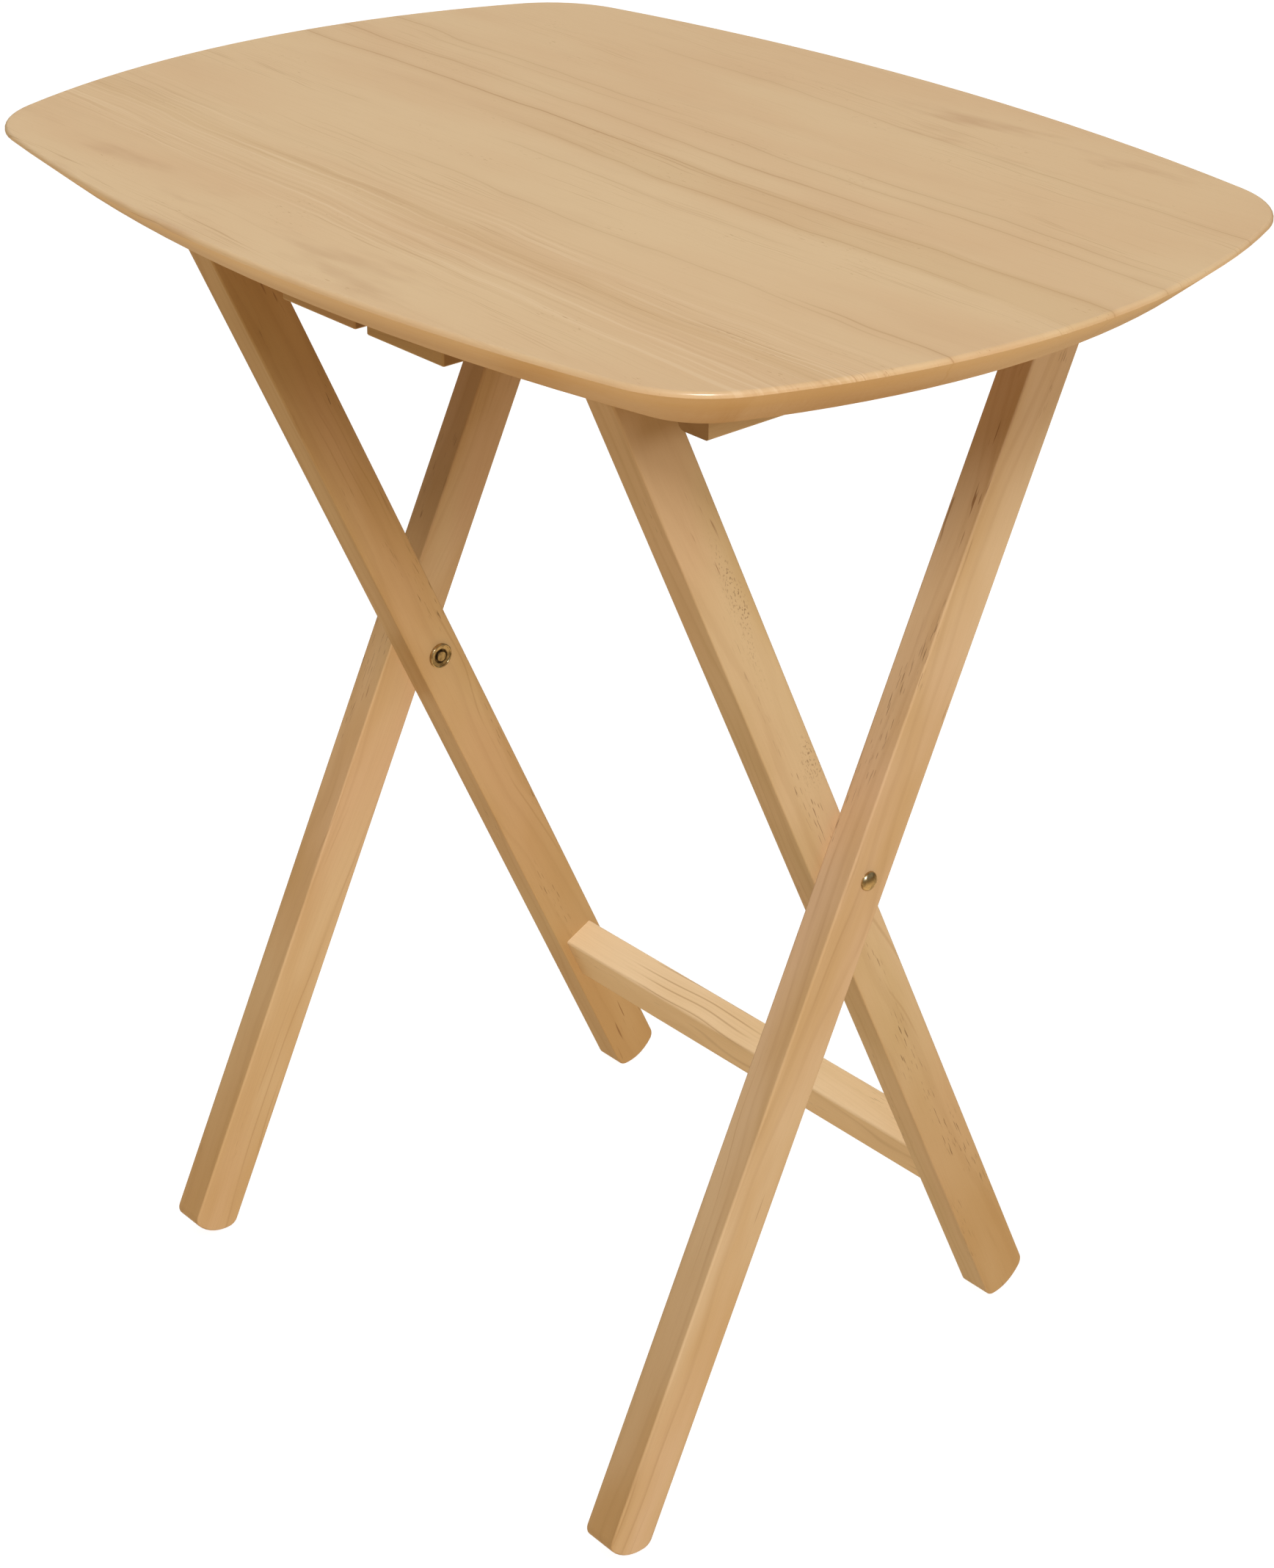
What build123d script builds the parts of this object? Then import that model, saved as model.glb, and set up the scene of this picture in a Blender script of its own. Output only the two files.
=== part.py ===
"""Folding tray table: a bowed wooden top on two crossed leg frames.

+X runs along the grain and the hinge lines, -Y is the front, +Z is up, and the floor is z = 0.
The outer legs carry the top on two hinge rivets near the back edge. The inner legs cross them on
two more rivets, and a round bar between their tops bears on stop blocks under the front edge.
"""
import os
from math import cos, radians, sin, sqrt

from build123d import *

# Top panel
table_height = 660.0
top_length = 614.0
top_width = 454.0
top_thickness = 22.5
long_side_bow = 31.0
short_side_bow = 47.0
corner_radius = 61.0
edge_lip = 2.6
edge_round = 2.0
undercut = 23.5

# Leg stock and stance
leg_width = 30.0
leg_thickness = 19.8
leg_edge_round = 1.2
leg_lean = 25.2
foot_crown = 25.0
foot_corner = 6.5
foot_flat = 0.3
cross_height = 335.0
inner_clear_width = 295.1
leg_gap = 4.4

# Rails of the inner frame
stretcher_drop = 260.4
stretcher_width = 31.0
stretcher_thickness = 20.8
stretcher_edge_round = 1.5
dowel_diameter = 8.0
dowel_depth = 12.0
dowel_end_gap = 0.5
dowel_spacing = 14.0
crossbar_diameter = 16.0
crossbar_socket = 12.0

# Battens and stop blocks under the top
batten_thickness = 19.8
batten_height = 27.0
batten_inner_round = 5.0
batten_gap = 1.0
batten_front = 269.5
batten_back = 20.0
block_length = 58.0
block_depth = 16.0
block_height = 30.0
block_gap = 8.5
piece_round = 1.5
block_lower_round = 1.2

# Pivot rivets, their washers and the spacers between the legs
rivet_diameter = 5.0
rivet_tail_diameter = 6.4
rivet_tail_height = 1.6
cross_head_diameter = 10.5
cross_head_height = 3.2
hinge_head_diameter = 10.5
hinge_head_height = 2.8
washer_diameter = 14.8
washer_height = 2.0
washer_floor = 0.8
washer_rim = 1.2
recess_diameter = 8.0
spacer_diameter = 16.0

# Wood screws
screw_diameter = 4.5
screw_head_diameter = 8.4
screw_head_height = 2.8
screw_bite = 13.0
screw_end_gap = 0.5
screw_recess = 10.0
batten_screw_spacing = 105.0
block_screw_spacing = 32.0

# Clearances
top_clearance = 0.3
stop_clearance = 0.3
pivot_clearance = 0.08
seat_clearance = 0.05
axial_play = 0.2

# Levels and hinge lines worked out from the sizes above
lean = radians(leg_lean)
underside = table_height - top_thickness
hinge_height = underside - top_clearance - leg_width / 2
hinge_radius = (hinge_height - cross_height) / cos(lean)
hinge_reach = hinge_radius * sin(lean)
foot_centre = (cross_height - foot_crown + foot_flat) / cos(lean)
foot_shoulder = foot_centre + sqrt(foot_crown**2 - (leg_width / 2) ** 2)

# Places across the table, from the middle outwards
inner_face = inner_clear_width / 2
inner_leg_outside = inner_face + leg_thickness
inner_leg_x = inner_face + leg_thickness / 2
outer_leg_inside = inner_leg_outside + leg_gap
outer_leg_outside = outer_leg_inside + leg_thickness
outer_leg_x = outer_leg_inside + leg_thickness / 2
batten_inside = outer_leg_outside + batten_gap
batten_outside = batten_inside + batten_thickness
batten_x = (batten_inside + batten_outside) / 2
block_x = (block_gap + block_length) / 2

# Places along the table
stop_face = -(hinge_reach + crossbar_diameter / 2 + stop_clearance)
block_y = stop_face - block_depth / 2
batten_y = hinge_reach + (batten_back - batten_front) / 2

# Holes
pivot_hole = rivet_diameter / 2 + pivot_clearance
seat_hole = rivet_diameter / 2 + seat_clearance
dowel_hole = dowel_diameter / 2 + seat_clearance
crossbar_hole = crossbar_diameter / 2 + seat_clearance
screw_hole = screw_diameter / 2 + seat_clearance
screw_recess_hole = screw_head_diameter / 2 + seat_clearance

# Where the two pivots' washers stand
cross_tail = inner_face - axial_play
hinge_tail = batten_outside + axial_play

sides = (("left", -1), ("right", 1))
os.makedirs("parts", exist_ok=True)


def save(piece, label):
    """Name a finished piece and write it."""
    piece.label = label
    export_step(piece, f"parts/{label}.step")


def leg_plane(x, tilt):
    """Plane of a leg: its x runs up the leg from the crossing, towards the back where tilt is 1."""
    return Plane(origin=(x, 0, cross_height), x_dir=(0, tilt * sin(lean), cos(lean)), z_dir=(1, 0, 0))


def axle_plane(x, y, z, facing):
    """Plane that holds a line along X: its x runs along that line, towards +X where facing is 1."""
    return Plane(origin=(x, y, z), x_dir=(facing, 0, 0), z_dir=(0, 0, 1))


def leg(x, tilt):
    """A leg: round at the top, crowned at the foot with eased corners, and flat where it stands."""
    half = leg_width / 2
    foot_end = -foot_centre - foot_crown
    with BuildPart() as stick:
        with BuildSketch(leg_plane(x, tilt)) as profile:
            with BuildLine():
                ThreePointArc((hinge_radius, -half), (hinge_radius + half, 0), (hinge_radius, half))
                Line((hinge_radius, half), (-foot_shoulder, half))
                ThreePointArc((-foot_shoulder, half), (foot_end, 0), (-foot_shoulder, -half))
                Line((-foot_shoulder, -half), (hinge_radius, -half))
            make_face()
            fillet(profile.vertices().group_by(Axis.X)[0], radius=foot_corner)
        extrude(amount=leg_thickness / 2, both=True)
        fillet(stick.faces().filter_by(Axis.X).edges(), radius=leg_edge_round)
        split(bisect_by=Plane.XY, keep=Keep.TOP)
    return stick.part


def rivet(x, y, z, facing, head_diameter, head_height, length):
    """Rivet along X: the head's seat is at x, the head faces facing, and the tail is spread."""
    with BuildPart() as pin:
        with BuildSketch(axle_plane(x, y, z, facing)):
            with BuildLine():
                crown = (head_height, 0)
                head_rim = (0, head_diameter / 2)
                shank = (0, rivet_diameter / 2)
                neck = (-length, rivet_diameter / 2)
                flare = (-length, rivet_tail_diameter / 2)
                tip = (-length - rivet_tail_height, rivet_tail_diameter / 2)
                end = (-length - rivet_tail_height, 0)
                EllipticalCenterArc((0, 0), head_height, head_diameter / 2, arc_size=90)
                Polyline(head_rim, shank, neck, flare, tip, end, crown)
            make_face()
        revolve(axis=Axis((x, y, z), (facing, 0, 0)))
        tail_end = pin.faces().filter_by(GeomType.PLANE).sort_by(Axis((x, y, z), (facing, 0, 0)))[0]
        fillet(tail_end.edges(), radius=rivet_tail_height / 3)
    return pin.part


def dished_washer(x, y, z, facing):
    """Dished washer along X, standing on x, with a recess that holds the rivet's tail."""
    with BuildPart() as washer:
        with BuildSketch(axle_plane(x, y, z, facing)):
            with BuildLine():
                bore = (0, seat_hole)
                foot = (0, washer_diameter / 2)
                rim_out = (washer_height - washer_rim / 2, washer_diameter / 2)
                rim_top = (washer_height, washer_diameter / 2 - washer_rim / 2)
                rim_in = (washer_height - washer_rim / 2, washer_diameter / 2 - washer_rim)
                recess_top = (washer_floor + washer_rim / 4, recess_diameter / 2)
                recess_floor = (washer_floor / 2, recess_diameter / 2)
                bore_top = (washer_floor / 2, seat_hole)
                Polyline(bore, foot, rim_out)
                ThreePointArc(rim_out, rim_top, rim_in)
                Polyline(rim_in, recess_top, recess_floor, bore_top, bore)
            make_face()
        revolve(axis=Axis((x, y, z), (facing, 0, 0)))
    return washer.part


def ring(x, y, z, facing, diameter, height):
    """Flat ring along X, standing on x."""
    with BuildPart() as collar:
        with BuildSketch(Plane(origin=(x, y, z), z_dir=(facing, 0, 0))):
            Circle(diameter / 2)
            Circle(seat_hole, mode=Mode.SUBTRACT)
        extrude(amount=height)
    return collar.part


def screws(x, y, spacing_x, spacing_y, count_x, count_y, bottom):
    """Pan-head screws in a row, driven up into the top from recesses in a piece with this lower face."""
    seat = bottom + screw_recess
    with BuildPart() as row:
        with BuildSketch(Plane.XY.offset(seat)):
            with Locations((x, y)):
                with GridLocations(spacing_x, spacing_y, count_x, count_y):
                    Circle(screw_head_diameter / 2)
        extrude(amount=-screw_head_height)
        fillet(row.faces().group_by(Axis.Z)[0].edges(), radius=screw_head_height / 3)
        with BuildSketch(Plane.XY.offset(seat)):
            with Locations((x, y)):
                with GridLocations(spacing_x, spacing_y, count_x, count_y):
                    Circle(screw_diameter / 2)
        extrude(amount=underside + screw_bite - screw_end_gap - seat)
    return row.part


# Top panel: bowed outline, undercut edge and blind holes for the screws from below
with BuildPart() as top_panel:
    with BuildSketch(Plane.XY.offset(underside)) as outline:
        corner_x = top_length / 2 - short_side_bow
        corner_y = top_width / 2 - long_side_bow
        with BuildLine():
            ThreePointArc((-corner_x, -corner_y), (0, -top_width / 2), (corner_x, -corner_y))
            ThreePointArc((corner_x, -corner_y), (top_length / 2, 0), (corner_x, corner_y))
            ThreePointArc((corner_x, corner_y), (0, top_width / 2), (-corner_x, corner_y))
            ThreePointArc((-corner_x, corner_y), (-top_length / 2, 0), (-corner_x, -corner_y))
        make_face()
        fillet(outline.vertices(), radius=corner_radius)
    extrude(amount=top_thickness)
    fillet(top_panel.faces().sort_by(Axis.Z)[-1].edges(), radius=edge_round)
    lower_face = top_panel.faces().sort_by(Axis.Z)[0]
    chamfer(lower_face.edges(), length=undercut, length2=top_thickness - edge_lip, reference=lower_face)
    with BuildSketch(Plane.XY.offset(underside)):
        with Locations((-block_x, block_y), (block_x, block_y)):
            with GridLocations(block_screw_spacing, 0, 2, 1):
                Circle(screw_hole)
        with Locations((-batten_x, batten_y), (batten_x, batten_y)):
            with GridLocations(0, batten_screw_spacing, 1, 3):
                Circle(screw_hole)
    extrude(amount=screw_bite, mode=Mode.SUBTRACT)
save(top_panel.part, "top_panel")

# Outer legs: fixed rivets at the crossing and at the top's hinge
for name, side in sides:
    with BuildPart() as outer_leg:
        add(leg(side * outer_leg_x, 1))
        with Locations(leg_plane(side * outer_leg_x, 1)):
            with Locations((0, 0), (hinge_radius, 0)):
                Hole(seat_hole)
    save(outer_leg.part, f"outer_leg_{name}")

# Inner legs: a running hole at the crossing, a socket for the crossbar and holes for the dowels
for name, side in sides:
    with BuildPart() as inner_leg:
        add(leg(side * inner_leg_x, -1))
        with Locations(leg_plane(side * inner_leg_x, -1)):
            Hole(pivot_hole)
        with Locations(leg_plane(side * inner_face, -1)):
            with Locations((hinge_radius, 0)):
                Hole(crossbar_hole, depth=crossbar_socket)
        with Locations(leg_plane(side * inner_face, -1)):
            with Locations((-stretcher_drop, 0)):
                with GridLocations(dowel_spacing, 0, 2, 1):
                    Hole(dowel_hole, depth=dowel_depth + dowel_end_gap)
    save(inner_leg.part, f"inner_leg_{name}")

# Stretcher between the inner legs, drilled at both ends for its dowels
with BuildPart() as stretcher:
    with BuildSketch(leg_plane(0, -1)) as section:
        with Locations((-stretcher_drop, 0)):
            Rectangle(stretcher_width, stretcher_thickness)
        fillet(section.vertices(), radius=stretcher_edge_round)
    extrude(amount=inner_face, both=True)
    with Locations(leg_plane(-inner_face, -1), leg_plane(inner_face, -1)):
        with Locations((-stretcher_drop, 0)):
            with GridLocations(dowel_spacing, 0, 2, 1):
                Hole(dowel_hole, depth=dowel_depth + dowel_end_gap)
save(stretcher.part, "stretcher")

# Dowels: half in the leg and half in the stretcher
for name, side in sides:
    with BuildPart() as dowels:
        with BuildSketch(leg_plane(side * inner_face, -1)):
            with Locations((-stretcher_drop, 0)):
                with GridLocations(dowel_spacing, 0, 2, 1):
                    Circle(dowel_diameter / 2)
        extrude(amount=dowel_depth, both=True)
    save(dowels.part, f"stretcher_dowels_{name}")

# Crossbar between the tops of the inner legs, seated in their sockets
with BuildPart() as crossbar:
    with BuildSketch(leg_plane(0, -1)):
        with Locations((hinge_radius, 0)):
            Circle(crossbar_diameter / 2)
    extrude(amount=inner_face + crossbar_socket, both=True)
save(crossbar.part, "crossbar")

# Battens under the top, outside the outer legs, each with a running hole for the hinge
for name, side in sides:
    with BuildPart() as batten:
        with BuildSketch(Plane.XY.offset(underside)):
            with Locations((side * batten_x, batten_y)):
                Rectangle(batten_thickness, batten_front + batten_back)
        extrude(amount=-batten_height)
        low_edges = batten.edges().filter_by(Axis.Y).group_by(Axis.Z)[0].sort_by(Axis.X, reverse=side < 0)
        fillet(low_edges[0], radius=batten_inner_round)
        fillet(low_edges[-1], radius=piece_round)
        with BuildSketch(Plane.XY.offset(underside - batten_height)):
            with Locations((side * batten_x, batten_y)):
                with GridLocations(0, batten_screw_spacing, 1, 3):
                    Circle(screw_hole)
        extrude(amount=batten_height, mode=Mode.SUBTRACT)
        with BuildSketch(Plane.XY.offset(underside - batten_height)):
            with Locations((side * batten_x, batten_y)):
                with GridLocations(0, batten_screw_spacing, 1, 3):
                    Circle(screw_recess_hole)
        extrude(amount=screw_recess, mode=Mode.SUBTRACT)
        with Locations(Plane(origin=(side * batten_x, hinge_reach, hinge_height), z_dir=(1, 0, 0))):
            Hole(pivot_hole)
    save(batten.part, f"batten_{name}")
    row = screws(side * batten_x, batten_y, 0, batten_screw_spacing, 1, 3, underside - batten_height)
    save(row, f"batten_screws_{name}")

# Stop blocks in front of the crossbar, end to end with a gap
for name, side in sides:
    with BuildPart() as block:
        with BuildSketch(Plane.XY.offset(underside)):
            with Locations((side * block_x, block_y)):
                Rectangle(block_length, block_depth)
        extrude(amount=-block_height)
        fillet(block.edges().filter_by(Axis.Z), radius=piece_round)
        fillet(block.faces().sort_by(Axis.Z)[0].edges(), radius=block_lower_round)
        with BuildSketch(Plane.XY.offset(underside - block_height)):
            with Locations((side * block_x, block_y)):
                with GridLocations(block_screw_spacing, 0, 2, 1):
                    Circle(screw_hole)
        extrude(amount=block_height, mode=Mode.SUBTRACT)
        with BuildSketch(Plane.XY.offset(underside - block_height)):
            with Locations((side * block_x, block_y)):
                with GridLocations(block_screw_spacing, 0, 2, 1):
                    Circle(screw_recess_hole)
        extrude(amount=screw_recess, mode=Mode.SUBTRACT)
    save(block.part, f"stop_block_{name}")
    row = screws(side * block_x, block_y, block_screw_spacing, 0, 2, 1, underside - block_height)
    save(row, f"stop_screws_{name}")

# Pivots where the legs cross: rivet, spacer between the legs and washer under the spread tail
for name, side in sides:
    reach = outer_leg_outside - cross_tail + washer_floor / 2
    pin = rivet(
        side * outer_leg_outside, 0, cross_height, side, cross_head_diameter, cross_head_height, reach
    )
    save(pin, f"cross_rivet_{name}")
    spacer_x = side * (inner_leg_outside + axial_play)
    spacer = ring(spacer_x, 0, cross_height, side, spacer_diameter, leg_gap - axial_play)
    save(spacer, f"cross_spacer_{name}")
    save(dished_washer(side * cross_tail, 0, cross_height, -side), f"cross_washer_{name}")

# Hinges of the top: rivet from inside, ring between leg and batten, washer under the spread tail
for name, side in sides:
    reach = hinge_tail - outer_leg_inside + washer_floor / 2
    pin = rivet(
        side * outer_leg_inside,
        hinge_reach,
        hinge_height,
        -side,
        hinge_head_diameter,
        hinge_head_height,
        reach,
    )
    save(pin, f"hinge_rivet_{name}")
    ring_x = side * outer_leg_outside
    collar = ring(ring_x, hinge_reach, hinge_height, side, spacer_diameter, batten_gap - axial_play)
    save(collar, f"hinge_ring_{name}")
    save(dished_washer(side * hinge_tail, hinge_reach, hinge_height, side), f"hinge_washer_{name}")
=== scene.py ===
# %% [markdown]
# # A folding tray table in light wood
#
# The table's solids come from its CAD source, so every piece already has its size and its place. This lesson
# gives each of them the surface of the real thing: lacquered wood whose grain follows each piece, aged brass
# rivets, nylon spacers and plated screws. Then it sets up the floor and the light of a product photograph.

from math import cos, radians, sin

import bpy
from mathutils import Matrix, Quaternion, Vector


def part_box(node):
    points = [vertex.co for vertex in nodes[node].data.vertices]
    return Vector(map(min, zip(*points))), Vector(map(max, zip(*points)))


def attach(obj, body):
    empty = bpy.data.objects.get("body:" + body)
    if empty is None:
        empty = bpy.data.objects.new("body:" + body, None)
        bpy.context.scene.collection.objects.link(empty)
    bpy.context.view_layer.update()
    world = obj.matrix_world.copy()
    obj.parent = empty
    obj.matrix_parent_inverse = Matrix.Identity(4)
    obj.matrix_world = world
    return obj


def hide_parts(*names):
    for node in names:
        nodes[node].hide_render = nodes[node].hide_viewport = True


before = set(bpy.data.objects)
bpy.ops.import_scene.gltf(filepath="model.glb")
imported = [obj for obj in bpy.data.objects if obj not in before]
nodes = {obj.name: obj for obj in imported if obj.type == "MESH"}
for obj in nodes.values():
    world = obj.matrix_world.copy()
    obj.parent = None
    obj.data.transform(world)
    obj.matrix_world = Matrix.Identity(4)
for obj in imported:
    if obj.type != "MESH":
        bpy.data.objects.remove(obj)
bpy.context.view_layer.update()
sides = ("left", "right")

# %% [markdown]
# ## The camera
#
# A camera can be placed by eye, but the photograph holds enough straight edges to work out where it stood:
# the legs' edges and the outline of the top fix its place, its aim and its lens. The picture is cut so that
# the middle of the view lies above the middle of the frame, which a small vertical shift repeats.

# %% Camera
camera_place = Vector((1.1237, -0.9987, 1.1156))
camera_aim = Vector((0.0084, 0.0093, 0.4537))
camera_roll = radians(0.508)
lens_mm = 72.475
sensor_mm = 36.0
frame_shift = -0.1536

lens = bpy.data.cameras.new("photo_camera")
lens.sensor_width = sensor_mm
lens.lens = lens_mm
lens.shift_y = frame_shift
camera = bpy.data.objects.new("photo_camera", lens)
bpy.context.scene.collection.objects.link(camera)
camera.location = camera_place
camera.rotation_mode = "QUATERNION"
level = (camera_aim - camera_place).to_track_quat("-Z", "Y")
camera.rotation_quaternion = level @ Quaternion((0, 0, 1), camera_roll)
bpy.context.scene.camera = camera
print("camera looks along", [round(x, 3) for x in camera_aim - camera_place])

# %% [markdown]
# ## Shader maths
#
# A wood finish is a long sum of small patterns. Joined by hand in the node editor that is a large web, so a
# small class wraps one socket: sums and products of wires then add their own Math nodes, and one method adds
# any other node.


# %% Wires
class Wire:
    """One output socket of a material. Operators on wires add Math nodes."""

    def __init__(self, tree, socket):
        self.tree = tree
        self.socket = socket

    def add(self, kind, settings, values, output=0):
        """Adds a node, sets its settings first, then its inputs from numbers, colours or wires."""
        node = self.tree.nodes.new("ShaderNode" + kind)
        for name, value in settings.items():
            setattr(node, name, value)
        for name, value in values.items():
            if isinstance(value, Wire):
                self.tree.links.new(value.socket, node.inputs[name])
            else:
                node.inputs[name].default_value = value
        return Wire(self.tree, node.outputs[output])

    def math(self, operation, *values):
        return self.add("Math", {"operation": operation}, dict(enumerate(values)))

    def __add__(self, other):
        return self.math("ADD", self, other)

    def __sub__(self, other):
        return self.math("SUBTRACT", self, other)

    def __rsub__(self, other):
        return self.math("SUBTRACT", other, self)

    def __mul__(self, other):
        return self.math("MULTIPLY", self, other)

    def __pow__(self, other):
        return self.math("POWER", self, other)

    __radd__ = __add__
    __rmul__ = __mul__

    def size(self):
        return self.math("ABSOLUTE", self)

    def step(self, low, high):
        """0 below low and 1 above high, with a soft rise between them."""
        settings = {"interpolation_type": "SMOOTHSTEP"}
        return self.add("MapRange", settings, {"Value": self, "From Min": low, "From Max": high})

    def between(self, low, high, soft):
        """1 from low to high, with a soft fall on both sides."""
        return self.step(low - soft, low) * (1 - self.step(high, high + soft))

    def stretch(self, along, across, third):
        """A point with each of its coordinates multiplied."""
        return self.add("VectorMath", {"operation": "MULTIPLY"}, {0: self, 1: (along, across, third)})

    def noise(self, detail=2.0, roughness=0.5):
        values = {"Vector": self, "Scale": 1.0, "Detail": detail, "Roughness": roughness}
        return self.add("TexNoise", {"noise_dimensions": "3D"}, values)

    def noise_line(self, detail=2.0, roughness=0.5):
        values = {"W": self, "Scale": 1.0, "Detail": detail, "Roughness": roughness}
        return self.add("TexNoise", {"noise_dimensions": "1D"}, values)

    def coordinates(self):
        return [self.add("SeparateXYZ", {}, {"Vector": self}, i) for i in range(3)]

    def mix(self, first, second):
        """Goes from the first colour to the second as this wire goes from 0 to 1."""
        return self.add("Mix", {"data_type": "RGBA"}, {0: self, 6: first, 7: second}, 2)


# %% [markdown]
# ## How a finish starts
#
# Every finish starts alike: a new material, its shader, and two wires that tell where a point lies on the piece
# and which way the surface faces there. Lacquer is a clear film over the wood, so it goes on the shader's own
# coat, and the wood below it keeps a weak gloss of its own.

# %% Helpers for finishes
wood_gloss = 0.3


def new_finish(name):
    """A new material, its shader, and wires of the piece's own coordinates and of where it faces."""
    material = bpy.data.materials.new(name)
    material.use_nodes = True
    tree = material.node_tree
    shader = tree.nodes["Principled BSDF"]
    place = tree.nodes.new("ShaderNodeTexCoord")
    return material, shader, Wire(tree, place.outputs["Object"]), Wire(tree, place.outputs["Normal"])


def feed(shader, **wires):
    """Links wires to sockets of the shader."""
    for name, wire in wires.items():
        wire.tree.links.new(wire.socket, shader.inputs[name.replace("_", " ")])


def bump(height, strength, distance):
    return height.add("Bump", {}, {"Height": height, "Strength": strength, "Distance": distance})


def lacquer(shader, weight, blur):
    """A thin clear coat over the wood, and the weak gloss of the wood under it."""
    shader.inputs["Coat Weight"].default_value = weight
    shader.inputs["Coat Roughness"].default_value = blur
    shader.inputs["Specular IOR Level"].default_value = wood_gloss


def dress(material, *names):
    """Puts a finish on CAD nodes."""
    for name in names:
        for slot in nodes[name].material_slots:
            slot.material = material


# %% [markdown]
# ## Wood for the legs, rails and blocks
#
# Real grain runs through a piece: the lines on a face and the arcs on its end are cuts through the same growth
# rings. So the finish is a solid pattern, not a picture wrapped round the outside. Each piece turns the
# pattern until its grain runs along the piece, and takes its cut from another part of the tree.
#
# This wood is calm. Soft clouds of tone come first, then growth lines that show only in places, and last the
# short dark pores and a few reddish dashes, which lie in clusters. Boards from one tree still differ, so some
# pieces get tones of their own: one inner leg is like straw and the other like amber. The stretcher is the
# palest, partly its own pale wood and partly painted light on its top. Near the floor some faces get painted
# shade, a deeper honey tone, and one leg has fine specks along its back edge.

# %% Colours of the leg wood
tan_tones = ((0.562, 0.400, 0.238, 1.0), (0.552, 0.368, 0.220, 1.0), (0.465, 0.290, 0.130, 1.0))
amber_tones = ((0.505, 0.340, 0.165, 1.0), (0.495, 0.308, 0.152, 1.0), (0.415, 0.245, 0.095, 1.0))
warm_tones = ((0.540, 0.375, 0.206, 1.0), (0.530, 0.344, 0.192, 1.0), (0.445, 0.271, 0.115, 1.0))
straw_tones = ((0.554, 0.402, 0.232, 1.0), (0.548, 0.372, 0.212, 1.0), (0.458, 0.312, 0.146, 1.0))
# The stretcher's tones are paler: partly its own pale wood, partly painted light on its top.
pale_and_lit_rail_tones = ((0.690, 0.515, 0.315, 1.0), (0.660, 0.474, 0.272, 1.0), (0.622, 0.440, 0.240, 1.0))
# The deeper honey of the painted shade near the floor
painted_shade_honey = (0.385, 0.222, 0.085, 1.0)
latewood = (0.270, 0.140, 0.045, 1.0)
pore_brown = (0.110, 0.050, 0.018, 1.0)
dash_brown = (0.190, 0.080, 0.025, 1.0)
end_brown = (0.260, 0.130, 0.045, 1.0)
print("wood from", pale_and_lit_rail_tones[0][:3], "to", amber_tones[2][:3])

# %% Patterns of the leg wood
lean = radians(25.2)
cross_level = 0.335
pith = (0.045, 0.070)
ring_wander = 0.030
ring_slope = 0.012
rings_per_metre = 210.0
lines_per_metre = 160.0
uneven_per_metre = 95.0
unevenness = 0.9


def growth(grain):
    """Growth rings round the pith: broad soft ones, and hairlines that show only in places."""
    along, across, deep = grain.coordinates()
    wander = (grain.stretch(5.0, 15.0, 15.0).noise(2.0) - 0.5) * ring_wander
    from_pith = ((across - pith[0]) ** 2 + (deep - pith[1]) ** 2) ** 0.5
    ring = from_pith + wander + along * ring_slope
    soft_rings = (ring * rings_per_metre).noise_line(2.0, 0.55).step(0.46, 0.74)
    shown = grain.stretch(8.0, 46.0, 46.0).noise(2.0).step(0.50, 0.66)
    count = ring * lines_per_metre + (ring * uneven_per_metre).noise_line(1.0) * unevenness
    off_line = (count.math("FRACT", count) - 0.5).size()
    return soft_rings, (1 - off_line.step(0.02, 0.10)) * shown


def flecks(grain):
    """Dark pores in clusters and, more rarely, longer reddish dashes."""
    cluster = grain.stretch(9.0, 60.0, 60.0).noise(1.0).step(0.58, 0.70)
    pores = grain.stretch(110.0, 1900.0, 1900.0).noise(0.5).step(0.68, 0.74) * cluster
    rare = grain.stretch(7.0, 40.0, 40.0).noise(1.0).step(0.60, 0.70)
    dashes = grain.stretch(45.0, 620.0, 620.0).noise(0.5).step(0.69, 0.75) * rare
    return pores, dashes


def specks(place, grain):
    """Small dark specks along the back edge of an inner leg, above the crossing."""
    back, height = place.coordinates()[1:]
    to_back = back * cos(lean) + (height - cross_level) * sin(lean)
    dots = grain.stretch(600.0, 1300.0, 1300.0).noise(0.5).step(0.61, 0.66)
    cluster = grain.stretch(22.0, 80.0, 80.0).noise(1.0).step(0.40, 0.58)
    return dots * cluster * to_back.step(-0.003, 0.010) * height.between(0.41, 0.51, 0.04)


# %% Leg wood
cloud_share = 0.80
ring_share = 0.12
fine_share = 0.30
dash_share = 0.75
pore_share = 0.65
speck_share = 0.60
end_share = 0.60


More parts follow.
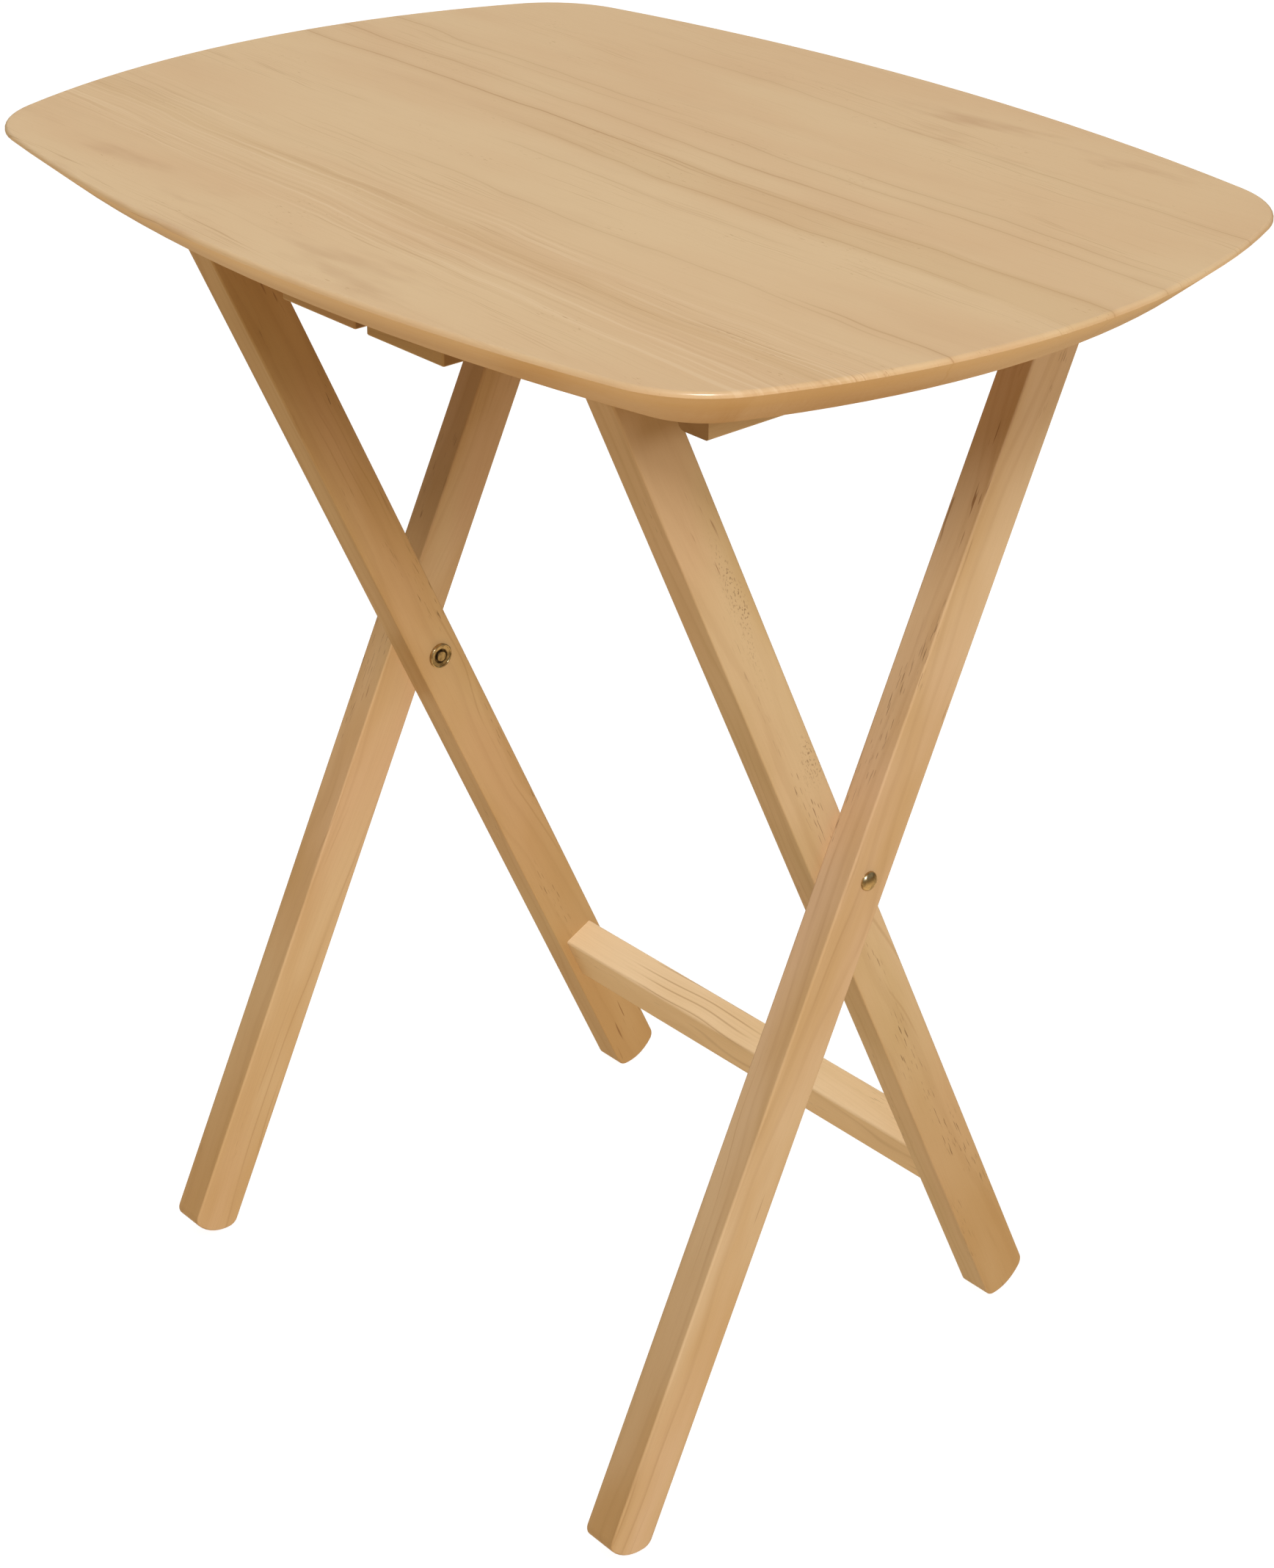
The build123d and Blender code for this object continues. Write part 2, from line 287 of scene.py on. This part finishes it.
def leg_finish(name, turn, cut, tones, floor_shade_side, floor_shade_edge, figure, speckled):
    """Lacquered wood, its grain turned and cut so, with painted shade on wide sides and narrow edges near the
    floor.
    """
    material, shader, place, facing = new_finish(name)
    grain = place.add("Mapping", {"vector_type": "POINT"}, {"Vector": place, "Rotation": turn, "Location": cut})
    along_face = place.add("Mapping", {"vector_type": "VECTOR"}, {"Vector": facing, "Rotation": turn})
    end_face = along_face.coordinates()[0].size().step(0.75, 0.95)
    rings, hairlines = growth(grain)
    pores, dashes = flecks(grain)
    fine = grain.stretch(30.0, 1100.0, 1100.0).noise(2.0)
    cloud = grain.stretch(8.0, 30.0, 30.0).noise(2.0)
    blush = grain.stretch(5.0, 16.0, 16.0).noise(1.0)
    # Painted shade: towards the floor the wood darkens to deep honey, on wide sides and narrow edges by the given
    # shares.
    low = 1 - place.coordinates()[2].step(0.04, 0.30)
    wide = facing.coordinates()[0].size()
    deep = low * (floor_shade_edge + wide * (floor_shade_side - floor_shade_edge)) * (0.6 + cloud * 0.8)

    colour = blush.step(0.40, 0.64).mix(tones[0], tones[1])
    colour = (cloud.step(0.36, 0.74) * cloud_share).mix(colour, tones[2])
    # painted shade near the floor
    colour = deep.mix(colour, painted_shade_honey)
    colour = (rings * ring_share).mix(colour, latewood)
    colour = (hairlines * figure).mix(colour, latewood)
    colour = ((fine - 0.5).size() * fine_share).mix(colour, latewood)
    colour = (dashes * dash_share).mix(colour, dash_brown)
    colour = (pores * pore_share).mix(colour, pore_brown)
    if speckled:
        colour = (specks(place, grain) * speck_share).mix(colour, pore_brown)
    colour = (end_face * end_share).mix(colour, end_brown)
    shine = 0.40 + rings * 0.06 + (fine - 0.5) * 0.14
    relief = bump(fine + rings * 0.4 - hairlines - pores * 2.0 - dashes, 0.10, 0.0004)
    feed(shader, Base_Color=colour, Roughness=shine, Normal=relief)
    lacquer(shader, weight=0.10, blur=0.25)
    return material


# %% Leg wood on its pieces
outer_turn = (lean, radians(90), 0)
inner_turn = (-lean, radians(90), 0)
along_x = (0, 0, 0)
along_y = (0, 0, radians(-90))
wood_pieces = (
    ("outer_leg_right", outer_turn),
    ("outer_leg_left", outer_turn),
    ("inner_leg_right", inner_turn),
    ("inner_leg_left", inner_turn),
    ("stretcher", along_x),
    ("crossbar", along_x),
    ("batten_right", along_y),
    ("batten_left", along_y),
    ("stop_block_right", along_x),
    ("stop_block_left", along_x),
    ("stretcher_dowels_right", along_x),
    ("stretcher_dowels_left", along_x),
)
# Shares of painted shade near the floor, on the wide sides and on the narrow edges of each kind of leg
floor_shade_faces = {"inner_leg": (0.9, 0.1), "outer_leg": (0.0, 0.6)}
special_tones = {
    # paler tones, partly painted light
    "stretcher": pale_and_lit_rail_tones,
    "inner_leg_right": straw_tones,
    "inner_leg_left": amber_tones,
    "outer_leg_left": warm_tones,
    "batten_right": straw_tones,
    "batten_left": straw_tones,
    "stop_block_right": amber_tones,
    "stop_block_left": amber_tones,
}
next_cut = (0.83, 0.017, 0.023)
calm_figure = 0.28
rail_figure = 0.48
for number, (name, turn) in enumerate(wood_pieces):
    cut = [step * number for step in next_cut]
    tones = special_tones.get(name, tan_tones)
    floor_shade_side, floor_shade_edge = floor_shade_faces.get(name.rsplit("_", 1)[0], (0.0, 0.0))
    figure = rail_figure if name == "stretcher" else calm_figure
    speckled = name == "inner_leg_right"
    wood = leg_finish(f"wood_{name}", turn, cut, tones, floor_shade_side, floor_shade_edge, figure, speckled)
    dress(wood, name)
print("leg wood on", len(wood_pieces), "pieces")

# %% [markdown]
# ## The top
#
# The top is glued from wide boards of the same wood. Most of it is calm. One band of single growth lines runs
# through the middle and a closer one near the front, and the back board is rosier than the rest, with blotches.
# The single lines are drawn one by one, each on a coordinate that wanders across the boards as the tree did.
# The undercut rim shows end grain with painted light and shade on it: golden near the lip, brown below.
# The lip itself has the most lacquer.

# %% Where the growth lines of the top run
top_level = 0.660
# place across the top, start and stop along it, and weight
single_lines = (
    (0.078, -0.30, -0.08, 0.8),
    (0.070, -0.24, 0.00, 0.4),
    (0.081, 0.10, 0.26, 0.7),
    (0.067, 0.00, 0.32, 0.9),
    (0.046, -0.32, 0.13, 0.9),
    (0.024, -0.32, 0.32, 1.0),
    (0.001, -0.06, 0.22, 0.7),
    (-0.021, -0.03, 0.12, 0.6),
    (-0.071, -0.05, 0.24, 0.6),
    (-0.066, 0.24, 0.32, 0.8),
    (0.156, -0.12, 0.32, 0.6),
)
line_reach = 0.0009
shade_reach = 0.0060
fade = 0.06
slant = 0.05
slow_wander = 0.024
quick_wander = 0.010
dive = 0.5

material, shader, place, facing = new_finish("wood_top")
along, across, deep = place.coordinates()
slow = place.stretch(2.6, 7.0, 7.0).noise(1.0)
quick = place.stretch(13.0, 30.0, 30.0).noise(2.0)
drift = across + along * slant + (slow - 0.5) * slow_wander
drift = drift + (quick - 0.5) * quick_wander + (deep - top_level) * dive
lines = along * 0
shades = along * 0
for line_place, start, stop, weight in single_lines:
    off = (drift - line_place).size()
    reach = along.between(start, stop, fade) * weight
    lines = lines.math("MAXIMUM", lines, (1 - off.step(0.0, line_reach)) * reach)
    shades = shades.math("MAXIMUM", shades, (1 - off.step(0.0, shade_reach)) * reach)
print(len(single_lines), "growth lines on the top")

# %% Bands, boards and blotches of the top
close_zone = (-0.158, -0.104, 0.020)
grey_zone = (-0.131, -0.120, 0.006)
olive_zone = (0.001, 0.024, 0.006)
back_joint = (0.1475, 0.1505)
front_edge = (-0.185, -0.165)
few_blotches = 0.16
front_blotches = 0.6

grain = along.add("CombineXYZ", {}, {0: along, 1: drift, 2: deep})
fine = place.stretch(22.0, 900.0, 900.0).noise(2.0)
cloud = place.stretch(5.0, 17.0, 17.0).noise(2.0)
patchy = place.stretch(10.0, 44.0, 44.0).noise(3.0, 0.6)
broken = place.stretch(6.0, 60.0, 60.0).noise(2.0)
streaks = grain.stretch(3.5, 420.0, 40.0).noise(2.5, 0.65)
wisps = grain.stretch(8.0, 700.0, 60.0).noise(2.0, 0.6).step(0.60, 0.74)
hairs = grain.stretch(13.0, 1500.0, 60.0).noise(1.0).step(0.64, 0.71)
hairs = hairs * place.stretch(5.0, 26.0, 26.0).noise(1.0).step(0.48, 0.62)
close_band = drift.between(*close_zone)
close_lines = streaks.step(0.52, 0.66) * close_band
cream_lines = (1 - streaks.step(0.34, 0.46)) * close_band
grey_streak = drift.between(*grey_zone)
olive_band = drift.between(*olive_zone) * along.step(-0.20, 0.05)
back_board = across.step(*back_joint)
front_strip = 1 - drift.step(*front_edge)
rosy = few_blotches + back_board * along.step(-0.02, 0.08) + front_strip * front_blotches
blotch = patchy.step(0.50, 0.72) * rosy
top_specks = grain.stretch(200.0, 1500.0, 900.0).noise(0.5).step(0.70, 0.75)
top_specks = top_specks * place.stretch(14.0, 50.0, 50.0).noise(1.0).step(0.58, 0.68)
edge_down = 0 - facing.coordinates()[2]
rim = edge_down.between(0.40, 0.90, 0.06)
rim_streak = place.stretch(9.0, 9.0, 130.0).noise(2.0)
# Painted light and shade on the rim: golden towards the lip, brown lower down
rim_light_rise = deep.step(0.640, 0.657)
lip = facing.coordinates()[2].between(0.15, 0.90, 0.08)
print("bands, boards and blotches drawn")

# %% Colours of the top
top_pale = (0.610, 0.432, 0.246, 1.0)
top_rose = (0.582, 0.388, 0.214, 1.0)
top_cream = (0.690, 0.515, 0.325, 1.0)
top_olive = (0.480, 0.300, 0.130, 1.0)
line_brown = (0.290, 0.130, 0.030, 1.0)
blotch_rose = (0.380, 0.195, 0.090, 1.0)
# The rim's painted light near the lip and painted shade below it
rim_lit_gold = (0.540, 0.320, 0.110, 1.0)
rim_shaded_brown = (0.370, 0.188, 0.050, 1.0)
print("top from", top_cream[:3], "to", line_brown[:3])

# %% Top wood
back_share = 0.35
olive_share = 0.20
blotch_share = 0.40
shade_share = 0.10
cream_share = 0.40
close_share = 0.15
wisp_share = 0.08
hair_share = 0.38
line_share = 0.55
top_fine_share = 0.20
top_speck_share = 0.55
film = 0.15
lip_film = 0.55

colour = cloud.step(0.35, 0.75).mix(top_pale, top_rose)
colour = (back_board * back_share).mix(colour, top_rose)
colour = ((olive_band + grey_streak) * olive_share).mix(colour, top_olive)
colour = (blotch * blotch_share).mix(colour, blotch_rose)
colour = (shades * shade_share).mix(colour, line_brown)
colour = (cream_lines * cream_share).mix(colour, top_cream)
colour = (close_lines * close_share).mix(colour, line_brown)
colour = (wisps * wisp_share).mix(colour, line_brown)
colour = (hairs * hair_share).mix(colour, line_brown)
colour = (lines * (0.15 + broken) * line_share).mix(colour, line_brown)
colour = ((fine - 0.5).size() * top_fine_share).mix(colour, line_brown)
colour = (top_specks * top_speck_share).mix(colour, line_brown)
# The rim's end grain, with painted light near the lip and painted shade below
colour = (rim * (0.55 + rim_streak * 0.6)).mix(colour, rim_light_rise.mix(rim_shaded_brown, rim_lit_gold))
shine = 0.34 + lines * 0.06 + (fine - 0.5) * 0.10
relief = bump(fine - lines - close_lines, 0.06, 0.0003)
lacquer(shader, weight=film, blur=0.18)
feed(shader, Base_Color=colour, Roughness=shine, Normal=relief, Coat_Weight=film + lip * lip_film)
dress(material, "top_panel")
print("top dressed")

# %% [markdown]
# ## Brass, nylon and steel
#
# The rivets are brass that has been darkened and rubbed bright again: the rims and the crowns shine. The
# recess round each spread tail gets painted shade, a brown ring. All of that is a matter of how far a point is
# from the pivot's line, so one finish serves a rivet and its washer.

# %% Brass
rubbed_brass = (0.60, 0.47, 0.27, 1.0)
brown_brass = (0.12, 0.08, 0.035, 1.0)
tail_radius = 0.0030
recess_radius = 0.0043
hinge_back = 0.1351
hinge_level = 0.6222


def brass_finish(name, pivot_y, pivot_z, tail_from, tail_to):
    """Aged brass turned about a line along X, with painted shade in brown round the tail, which lies this far
    from the middle.
    """
    material, shader, place, facing = new_finish(name)
    side, back, height = place.coordinates()
    radius = ((back - pivot_y) ** 2 + (height - pivot_z) ** 2) ** 0.5
    spots = place.stretch(420.0, 420.0, 420.0).noise(3.0)
    turned = (radius * 5200.0).noise_line(2.0)
    # Painted shade: a brown ring in the recess round the tail, added to the spots of tarnish
    painted_recess_shade = radius.between(tail_radius, recess_radius, 0.0004) * side.size().between(tail_from, tail_to, 0.001)
    tarnish_and_shade = spots.step(0.35, 0.72) * 0.6 + painted_recess_shade * 0.8
    colour = tarnish_and_shade.mix(rubbed_brass, brown_brass)
    shine = 0.17 + spots * 0.14 + painted_recess_shade * 0.25
    feed(shader, Base_Color=colour, Roughness=shine, Normal=bump(turned + spots, 0.12, 0.0001))
    shader.inputs["Metallic"].default_value = 1.0
    return material


cross_brass = brass_finish("brass_cross", 0.0, cross_level, tail_from=0.140, tail_to=0.150)
hinge_brass = brass_finish("brass_hinge", hinge_back, hinge_level, tail_from=0.205, tail_to=0.220)
for side in sides:
    dress(cross_brass, f"cross_rivet_{side}", f"cross_washer_{side}")
    dress(hinge_brass, f"hinge_rivet_{side}", f"hinge_washer_{side}")
print("brass on the rivets and washers")

# %% Nylon and plated steel
nylon_tones = ((0.50, 0.38, 0.22, 1.0), (0.40, 0.29, 0.16, 1.0))
plate_tones = ((0.62, 0.55, 0.38, 1.0), (0.40, 0.33, 0.20, 1.0))

material, shader, place, facing = new_finish("spacer_nylon")
spots = place.stretch(400.0, 400.0, 400.0).noise(2.0)
colour = spots.step(0.3, 0.7).mix(*nylon_tones)
feed(shader, Base_Color=colour, Roughness=0.5 + spots * 0.1, Normal=bump(spots, 0.1, 0.0001))
for side in sides:
    dress(material, f"cross_spacer_{side}", f"hinge_ring_{side}")

steel, shader, place, facing = new_finish("plated_steel")
spots = place.stretch(300.0, 300.0, 300.0).noise(3.0)
colour = spots.step(0.3, 0.7).mix(*plate_tones)
feed(shader, Base_Color=colour, Roughness=0.25 + spots * 0.2, Normal=bump(spots, 0.1, 0.0001))
shader.inputs["Metallic"].default_value = 1.0
print("nylon dressed, steel ready")

# %% [markdown]
# ## The screws under the top
#
# Pan-head screws hold the battens and the stop blocks, sunk in recesses from below. A real one is turned, and
# its cross is pressed into the head. Here a cylinder is the start: a bevel rounds the crown, an inset and two
# extrusions make the shank and its tip, and two tapered cutters sink the cross. One screw is made so, head down
# at the origin, and copied to every place. Each copy is turned a little further, because no two stop alike.

# %% One screw
head_radius = 0.0042
head_height = 0.0028
head_sides = 48
crown_round = 0.0011
crown_segments = 5
shank_radius = 0.00225
shank_length = 0.0255
tip_length = 0.0040
tip_scale = 0.2
nearly_flat = 0.9
same_level = 1e-5


def pick_faces(piece, facing, level):
    """Opens a piece in edit mode with only its faces that point up or down at this level selected."""
    bpy.context.tool_settings.mesh_select_mode = (False, False, True)
    bpy.ops.object.mode_set(mode="EDIT")
    bpy.ops.mesh.select_all(action="DESELECT")
    bpy.ops.object.mode_set(mode="OBJECT")
    for face in piece.data.polygons:
        face.select = face.normal.z * facing > nearly_flat and abs(face.center.z - level) < same_level
    bpy.ops.object.mode_set(mode="EDIT")


bpy.ops.object.select_all(action="DESELECT")
middle = (0, 0, head_height / 2)
bpy.ops.mesh.primitive_cylinder_add(vertices=head_sides, radius=head_radius, depth=head_height, location=middle)
bpy.ops.object.transform_apply(location=True)
screw = bpy.context.object
pick_faces(screw, -1, 0.0)
bpy.ops.mesh.bevel(offset=crown_round, segments=crown_segments, affect="EDGES")
pick_faces(screw, 1, head_height)
bpy.ops.mesh.inset(thickness=head_radius - shank_radius)
bpy.ops.mesh.extrude_region_move(TRANSFORM_OT_translate={"value": (0, 0, shank_length)})
bpy.ops.mesh.extrude_region_move(TRANSFORM_OT_translate={"value": (0, 0, tip_length)})
bpy.ops.transform.resize(value=(tip_scale, tip_scale, 1.0))
bpy.ops.object.mode_set(mode="OBJECT")
print("screw blank of", len(screw.data.polygons), "faces")

# %% The cross in its head
slot_length = 0.0050
slot_width = 0.0011
slot_height = 0.0032
slot_taper = 0.45
merge_reach = 1e-6
smooth_angle = radians(35)

for slot_size in ((slot_length, slot_width), (slot_width, slot_length)):
    bpy.ops.object.select_all(action="DESELECT")
    bpy.ops.mesh.primitive_cube_add(size=1.0, scale=(*slot_size, slot_height))
    bpy.ops.object.transform_apply(scale=True)
    cutter = bpy.context.object
    pick_faces(cutter, 1, slot_height / 2)
    bpy.ops.transform.resize(value=(slot_taper, slot_taper, 1.0))
    bpy.ops.object.mode_set(mode="OBJECT")
    press = screw.modifiers.new("cross", "BOOLEAN")
    press.operation = "DIFFERENCE"
    press.solver = "EXACT"
    press.object = cutter
    bpy.context.view_layer.objects.active = screw
    bpy.ops.object.modifier_apply(modifier="cross")
    bpy.data.objects.remove(cutter)
bpy.ops.object.select_all(action="DESELECT")
screw.select_set(True)
bpy.ops.object.mode_set(mode="EDIT")
bpy.ops.mesh.select_all(action="SELECT")
bpy.ops.mesh.remove_doubles(threshold=merge_reach)
bpy.ops.mesh.normals_make_consistent(inside=False)
bpy.ops.object.mode_set(mode="OBJECT")
bpy.ops.object.shade_smooth_by_angle(angle=smooth_angle)
screw.data.materials.append(steel)
print("screw of", len(screw.data.polygons), "faces")

# %% Screws in their places
screws_per_batten = 3
screws_per_block = 2
turn_step = 0.7
turn_by_place = 9.0


def set_screws(node, count):
    """Copies the screw along a node's box and joins the copies into the piece that stands for the node."""
    low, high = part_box(node)
    inset = Vector((head_radius, head_radius, 0))
    first, last = low + inset, high - inset
    copies = []
    for number in range(count):
        bpy.ops.object.select_all(action="DESELECT")
        screw.select_set(True)
        bpy.context.view_layer.objects.active = screw
        bpy.ops.object.duplicate()
        copy = bpy.context.object
        place = first.lerp(last, number / (count - 1))
        copy.location = (place.x, place.y, low.z)
        copy.rotation_euler = (0, 0, turn_step * number + turn_by_place * low.x)
        copies.append(copy)
    for copy in copies:
        copy.select_set(True)
    bpy.ops.object.join()
    bpy.ops.object.transform_apply(location=True, rotation=True)
    piece = bpy.context.object
    piece.name = f"turned_{node}"
    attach(piece, "top")
    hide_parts(node)
    print(piece.name, "of", len(piece.data.polygons), "faces")


for side in sides:
    set_screws(f"batten_screws_{side}", screws_per_batten)
    set_screws(f"stop_screws_{side}", screws_per_block)
bpy.data.objects.remove(screw)

# %% [markdown]
# ## Floor and light
#
# The photograph is lit from the camera's side by large soft lights. The top throws a soft shade on the upper
# legs, and no leg throws one on another. Suns with a wide disc stand for soft boxes that are far away, and light
# linking names what each of them lights and what may shade it. The key and side boxes light the table alone, and
# only the top shades them. A bounce from the paper reaches the top alone, and a box behind fills the far side, so
# that the table can be read from every angle. The side and back boxes don't show in the gloss.
#
# The floor throws no light back on the wood, because white paper would fill the shade under the top. What comes
# from below and from the sides is set in the world instead, dimmer and warmer. The paper glows a little, as on a
# light table, which keeps the shadows on it faint.

# %% Floor
floor_size = 60.0
floor_level = -0.0005
paper_grey = (0.42, 0.435, 0.47, 1.0)
paper_blur = 0.9
glow_white = (1.0, 1.0, 1.0, 1.0)
glow_strength = 0.84

bpy.ops.object.select_all(action="DESELECT")
bpy.ops.mesh.primitive_plane_add(size=floor_size, location=(0, 0, floor_level))
floor = bpy.context.object
floor.name = "studio_floor"
floor.visible_diffuse = False
floor.visible_glossy = False
material, shader, place, facing = new_finish("studio_white")
shader.inputs["Base Color"].default_value = paper_grey
shader.inputs["Emission Color"].default_value = glow_white
shader.inputs["Emission Strength"].default_value = glow_strength
shader.inputs["Roughness"].default_value = paper_blur
floor.data.materials.append(material)
print("floor of", floor_size, "m")

# %% Walls of the studio
from_above = (0.36, 0.345, 0.30, 1.0)
from_below = (0.95, 0.70, 0.40, 1.0)
from_side = (0.26, 0.185, 0.10, 1.0)
scene = bpy.context.scene
scene.view_settings.view_transform = "Standard"
scene.world = bpy.data.worlds.new("studio_walls")
scene.world.use_nodes = True
tree = scene.world.node_tree
direction = Wire(tree, tree.nodes.new("ShaderNodeTexCoord").outputs["Generated"])
height = direction.coordinates()[2]
walls = height.step(-0.75, -0.05).mix(from_below, from_side)
walls = height.step(0.05, 0.35).mix(walls, from_above)
tree.links.new(walls.socket, tree.nodes["Background"].inputs["Color"])
print("walls lit from", from_below[:3], "below to", from_above[:3], "above")


# %% Soft boxes
def group(name, pieces):
    """A collection of CAD nodes that a lamp lights, or is shaded by."""
    collection = bpy.data.collections.new(name)
    for piece in pieces:
        collection.objects.link(nodes[piece])
    return collection


def soft_box(name, azimuth, elevation, width, power):
    """A far, wide lamp: azimuth from the front towards +X, angles in degrees."""
    lamp = bpy.data.lights.new(name, "SUN")
    lamp.angle = radians(width)
    lamp.energy = power
    lit = bpy.data.objects.new(name, lamp)
    scene.collection.objects.link(lit)
    turn, rise = radians(azimuth), radians(elevation)
    towards = Vector((sin(turn) * cos(rise), -cos(turn) * cos(rise), sin(rise)))
    lit.rotation_mode = "QUATERNION"
    lit.rotation_quaternion = towards.to_track_quat("Z", "Y")
    return lit


# %% Lamps and what they light
top_pieces = ["top_panel"]
for side in sides:
    top_pieces += [f"batten_{side}", f"stop_block_{side}"]
whole_table = group("whole_table", nodes)
table_top = group("table_top", top_pieces)
key_box = soft_box("key_box", azimuth=48, elevation=41, width=16, power=2.2)
side_box = soft_box("side_box", azimuth=92, elevation=23, width=22, power=1.1)
for lamp in (key_box, side_box):
    lamp.light_linking.receiver_collection = whole_table
    lamp.light_linking.blocker_collection = table_top
side_box.visible_glossy = False
paper_bounce = soft_box("paper_bounce", azimuth=5, elevation=-35, width=90, power=0.40)
paper_bounce.light_linking.receiver_collection = group("top_alone", ["top_panel"])
paper_bounce.light_linking.blocker_collection = whole_table
soft_box("overhead_box", azimuth=20, elevation=78, width=60, power=0.15)
back_box = soft_box("back_box", azimuth=238, elevation=22, width=50, power=1.5)
back_box.visible_glossy = False
back_box.light_linking.blocker_collection = table_top
print("five lamps set")
